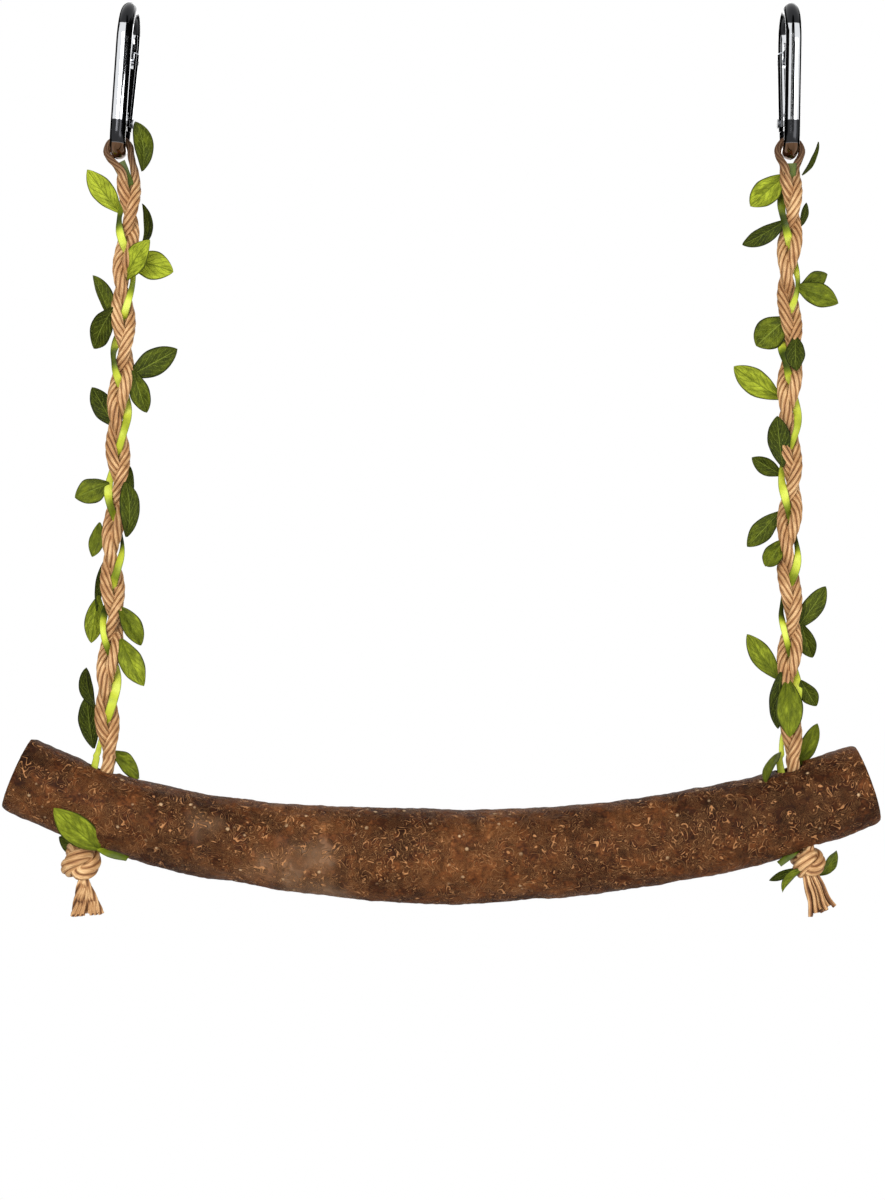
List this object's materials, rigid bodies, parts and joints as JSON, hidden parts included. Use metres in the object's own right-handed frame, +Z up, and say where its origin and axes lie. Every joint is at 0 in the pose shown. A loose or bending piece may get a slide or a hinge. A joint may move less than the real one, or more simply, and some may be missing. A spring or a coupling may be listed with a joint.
{
  "type": "bird swing",
  "caption": "Hanging bird swing: a bowed branch perch on two plaited jute ropes wound with leaf vine, each hung from a spring snap hook.",
  "frame": {"origin": "on the bar that both hooks clip over: the middle of the line between the inner tops of the two hooks", "axes": "+X along the perch to the right, +Y away from the viewer, +Z up"},
  "size_m": [0.2802, 0.0353, 0.2937],
  "materials": {
    "chrome": "polished",
    "dark_steel": "satin",
    "jute": "twisted jute fibre",
    "vine_ribbon": "glossy cloth ribbon",
    "leaf": "glossy printed cloth with veins",
    "bark": "natural bark, semi-gloss"
  },
  "bodies": {
    "hooks": {"left_hook_body": "chrome", "left_gate_rivet": "dark_steel", "right_hook_body": "chrome", "right_gate_rivet": "dark_steel"},
    "left_gate": {"left_gate": "chrome", "left_latch_pin": "dark_steel", "left_gate_spring": "dark_steel", "left_gate_plunger": "dark_steel"},
    "right_gate": {"right_gate": "chrome", "right_latch_pin": "dark_steel", "right_gate_spring": "dark_steel", "right_gate_plunger": "dark_steel"},
    "left_loop": {"left_rope_loop": "jute", "left_hook_leaf": "leaf"},
    "left_rope": {"left_cord_a": "jute", "left_cord_b": "jute", "left_vine_ribbon": "vine_ribbon", "left_upper_leaves": "leaf", "left_middle_leaves": "leaf", "left_lower_leaves": "leaf"},
    "perch": {"left_hole_cords": "jute", "left_ribbon_end": "vine_ribbon", "left_knot": "jute", "left_tail": "jute", "left_knot_leaves": "leaf", "left_mouth_leaf": "leaf", "right_hole_cords": "jute", "right_ribbon_end": "vine_ribbon", "right_knot": "jute", "right_tail": "jute", "right_knot_leaves": "leaf", "right_mouth_leaves": "leaf", "perch_branch": "bark"},
    "right_rope": {"right_cord_a": "jute", "right_cord_b": "jute", "right_vine_ribbon": "vine_ribbon", "right_upper_leaves": "leaf", "right_middle_leaves": "leaf", "right_lower_leaves": "leaf"},
    "right_loop": {"right_rope_loop": "jute", "right_hook_leaf": "leaf"}
  },
  "joints": [
    {"name": "left_gate_hinge", "type": "hinge", "parent": "hooks", "child": "left_gate", "pos_m": [-0.10833, 0.007, -0.03231], "axis": [0.9962, 0, -0.0872], "range_deg": [0, 32], "stiffness_Nm_per_rad": 0.05, "springref_deg": -17.19},
    {"name": "right_gate_hinge", "type": "hinge", "parent": "hooks", "child": "right_gate", "pos_m": [0.1055, 0.007, -0.03244], "axis": [1, 0, 0], "range_deg": [0, 32], "stiffness_Nm_per_rad": 0.05, "springref_deg": -17.19},
    {"name": "swing", "type": "hinge", "parent": "hooks", "child": "left_loop", "pos_m": [-0.10921, 0, -0.03593], "axis": [1, 0, 0], "range_deg": [-30, 30]},
    {"name": "sway", "type": "hinge", "parent": "left_loop", "child": "left_rope", "pos_m": [-0.10601, 0, -0.05242], "axis": [0, 1, 0], "range_deg": [-8, 8]},
    {"name": "perch_level", "type": "hinge", "parent": "left_rope", "child": "perch", "pos_m": [-0.11336, 0, -0.23547], "axis": [0, 1, 0], "range_deg": [-8.2, 8.2]},
    {"name": "right_rope_lean", "type": "hinge", "parent": "perch", "child": "right_rope", "pos_m": [0.10545, 0, -0.23567], "axis": [0, 1, 0], "range_deg": [-8.2, 8.2]},
    {"name": "right_loop_turn", "type": "hinge", "parent": "right_rope", "child": "right_loop", "pos_m": [0.1055, 0, -0.04988], "axis": [0, 1, 0], "range_deg": [-8.2, 8.2]}
  ],
  "couplings": [
    {"joint": "perch_level", "follows": "sway", "ratio": -0.9667},
    {"joint": "right_rope_lean", "follows": "sway", "ratio": 0.9521},
    {"joint": "right_loop_turn", "follows": "sway", "ratio": -0.9854}
  ]
}
